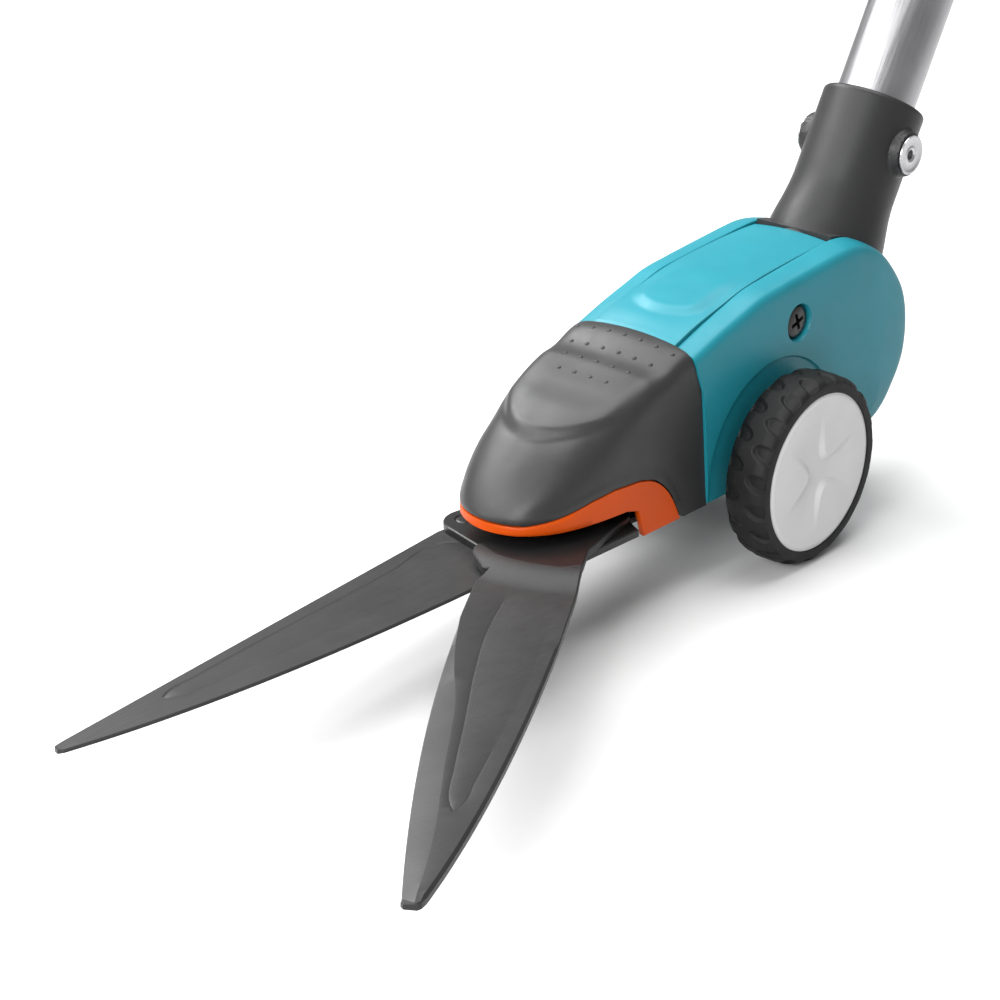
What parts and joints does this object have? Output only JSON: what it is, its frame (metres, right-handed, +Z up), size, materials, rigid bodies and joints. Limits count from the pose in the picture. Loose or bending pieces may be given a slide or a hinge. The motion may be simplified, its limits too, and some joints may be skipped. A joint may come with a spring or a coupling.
{
  "type": "grass shears",
  "caption": "Long-handled grass shears on wheels: squeezing a lever at the top of the tube closes a swinging blade over a fixed one.",
  "frame": {"origin": "on the ground midway between the two wheels, straight below their axle", "axes": "+Z up, -Y the way the blades point, +X towards the side on which the upper blade swings open; the tube leans back to +Y"},
  "size_m": [0.1497, 0.8711, 0.9283],
  "materials": {
    "teal_plastic": "satin moulded",
    "dark_plastic": "semi-matte moulded",
    "orange_plastic": "satin moulded",
    "coated_blade": "non-stick coated",
    "black_steel": "blackened",
    "zinc_steel": "zinc plated",
    "tyre": "moulded rubber",
    "pale_plastic": "satin moulded",
    "tube_aluminium": "satin anodised",
    "soft_grip": "soft-touch"
  },
  "bodies": {
    "head": {"chassis": "dark_plastic", "right_side_shell": "teal_plastic", "left_side_shell": "teal_plastic", "top_cover": "teal_plastic", "nose_cover": "dark_plastic", "nose_trim": "orange_plastic", "side_screws": "black_steel", "base_plate": "black_steel", "plate_screws": "black_steel", "lower_blade": "coated_blade", "blade_rivets": "black_steel", "pivot_washer": "zinc_steel", "pivot_bolt": "black_steel", "pivot_nut": "zinc_steel", "crank_pin": "zinc_steel", "wheel_axle": "zinc_steel", "axle_washers": "zinc_steel", "axle_clips": "zinc_steel", "main_tube": "tube_aluminium", "socket_rivets": "zinc_steel", "spring_plug": "dark_plastic", "return_spring": "zinc_steel", "right_handle_half": "teal_plastic", "left_handle_half": "teal_plastic", "grip_pad": "soft_grip", "lever_pin": "zinc_steel", "handle_screws": "black_steel", "hanging_eye": "black_steel"},
    "blade": {"upper_blade": "coated_blade"},
    "slider": {"drive_slider": "zinc_steel"},
    "crank": {"bell_crank": "zinc_steel", "clevis_pin": "zinc_steel"},
    "rod": {"pull_rod": "zinc_steel", "rod_clevis": "zinc_steel"},
    "lever": {"squeeze_lever": "orange_plastic", "link_pin": "zinc_steel"},
    "right_wheel": {"right_tyre": "tyre", "right_hub": "pale_plastic", "right_hub_cap": "pale_plastic"},
    "left_wheel": {"left_tyre": "tyre", "left_hub": "pale_plastic", "left_hub_cap": "pale_plastic"},
    "lock": {"lock_slide": "orange_plastic"}
  },
  "joints": [
    {"name": "lever_squeeze", "type": "hinge", "parent": "head", "child": "lever", "pos_m": [0, 0.4526, 0.8341], "axis": [1, 0, 0], "range_deg": [0, 16], "stiffness_Nm_per_rad": 9, "springref_deg": -6.88, "deforming": ["return_spring"]},
    {"name": "blade_swing", "type": "hinge", "parent": "head", "child": "blade", "pos_m": [0.006, -0.064, 0.0283], "axis": [0, 0, 1], "range_deg": [-33.3, 0]},
    {"name": "slider_travel", "type": "slide", "parent": "head", "child": "slider", "axis": [0, 1, 0], "range_m": [0, 0.0093]},
    {"name": "crank_swing", "type": "hinge", "parent": "head", "child": "crank", "pos_m": [0, 0.021, 0.0526], "axis": [1, 0, 0], "range_deg": [0, 33.1]},
    {"name": "rod_pull", "type": "slide", "parent": "head", "child": "rod", "axis": [0, 0.5, 0.866], "range_m": [0, 0.0093]},
    {"name": "right_wheel_spin", "type": "hinge", "parent": "head", "child": "right_wheel", "pos_m": [0.0334, 0, 0.029], "axis": [1, 0, 0], "continuous": true},
    {"name": "left_wheel_spin", "type": "hinge", "parent": "head", "child": "left_wheel", "pos_m": [-0.0334, 0, 0.029], "axis": [1, 0, 0], "continuous": true},
    {"name": "lock_travel", "type": "slide", "parent": "head", "child": "lock", "axis": [0, 0.9063, 0.4226], "range_m": [0, 0.0058]}
  ],
  "couplings": [
    {"joint": "blade_swing", "follows": "lever_squeeze", "ratio": -2.075},
    {"joint": "slider_travel", "follows": "lever_squeeze", "m_per_rad": 0.032737},
    {"joint": "crank_swing", "follows": "lever_squeeze", "ratio": 2.0625},
    {"joint": "rod_pull", "follows": "lever_squeeze", "m_per_rad": 0.032694}
  ]
}
